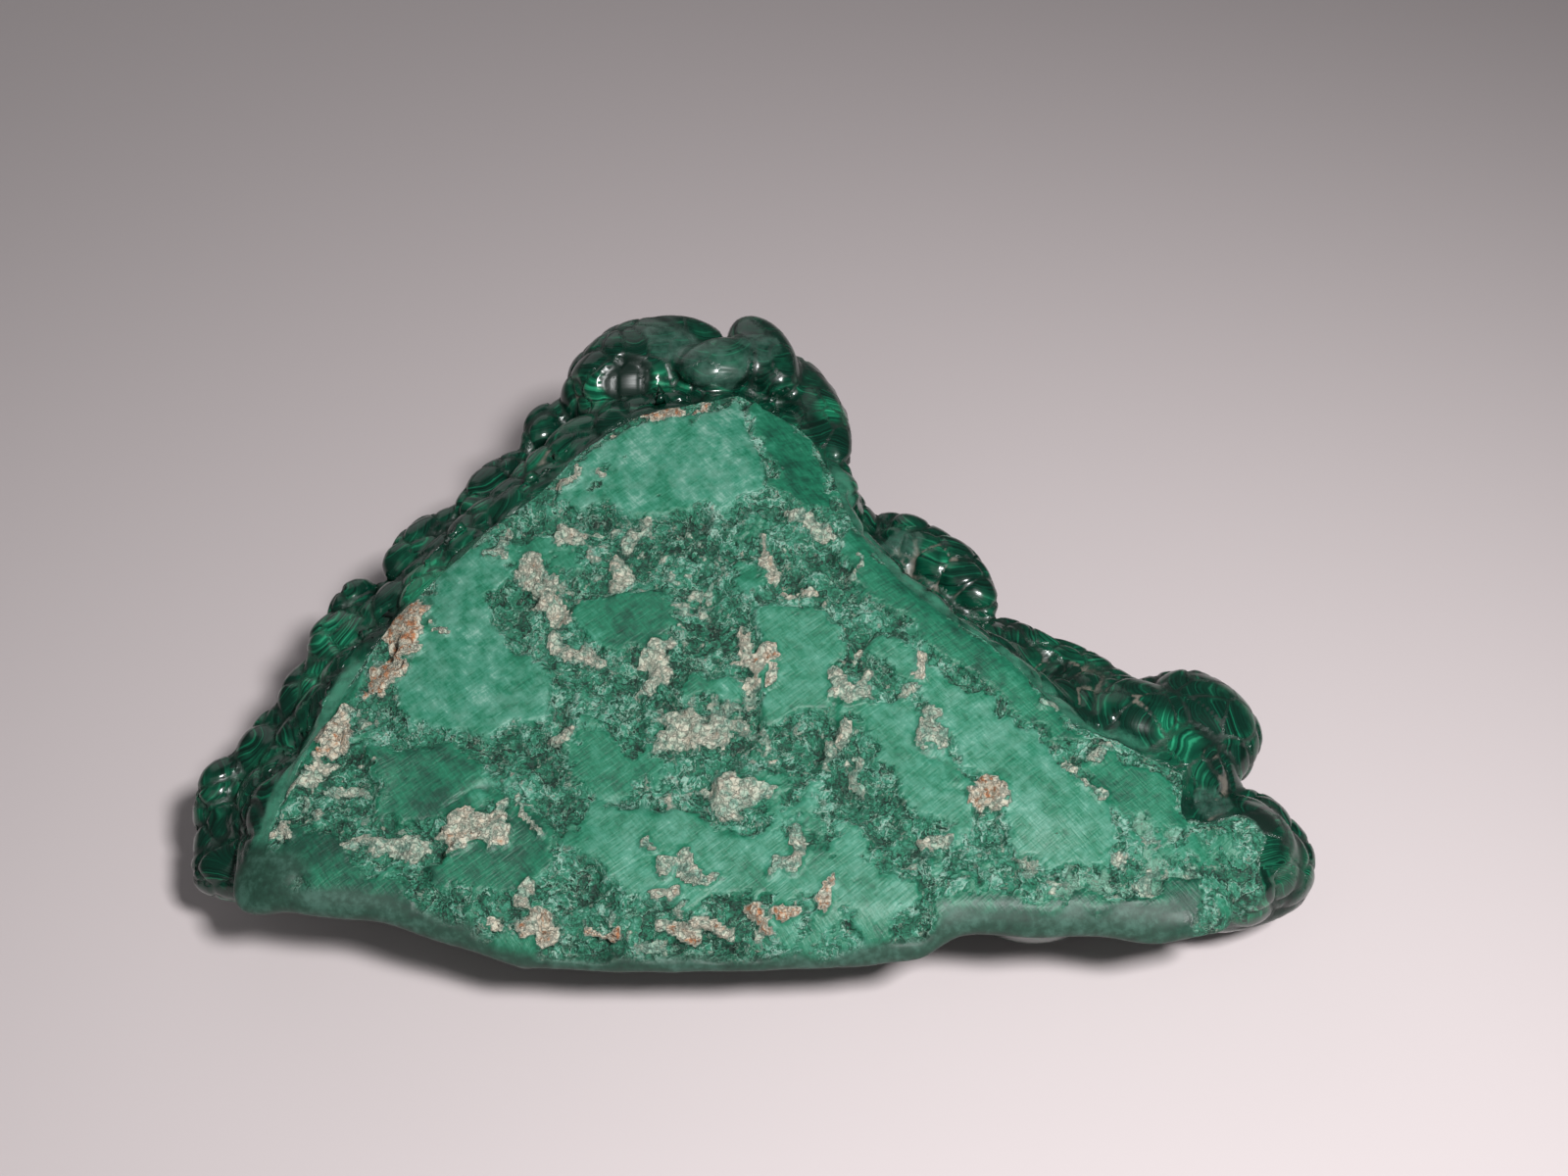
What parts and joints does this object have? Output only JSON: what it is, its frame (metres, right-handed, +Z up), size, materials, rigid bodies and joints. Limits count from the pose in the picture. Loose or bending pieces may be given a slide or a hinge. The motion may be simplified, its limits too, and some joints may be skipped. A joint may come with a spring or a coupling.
{
  "type": "malachite specimen",
  "caption": "Botryoidal malachite specimen: a wedge-shaped stone with polished bubbly flanks and a flat, broken and ground back that faces up.",
  "frame": {"origin": "centre of the bounding box seen from above, on the surface the stone rests on", "axes": "+Z up; +X along the stone's length, from the left arm's tip to the right arm's; +Y towards the knob at the thick end"},
  "size_m": [0.1446, 0.1024, 0.0437],
  "materials": {
    "malachite": "polished bubbly flanks, matt ground back"
  },
  "bodies": {
    "root": {"malachite_specimen": "malachite"}
  },
  "joints": []
}
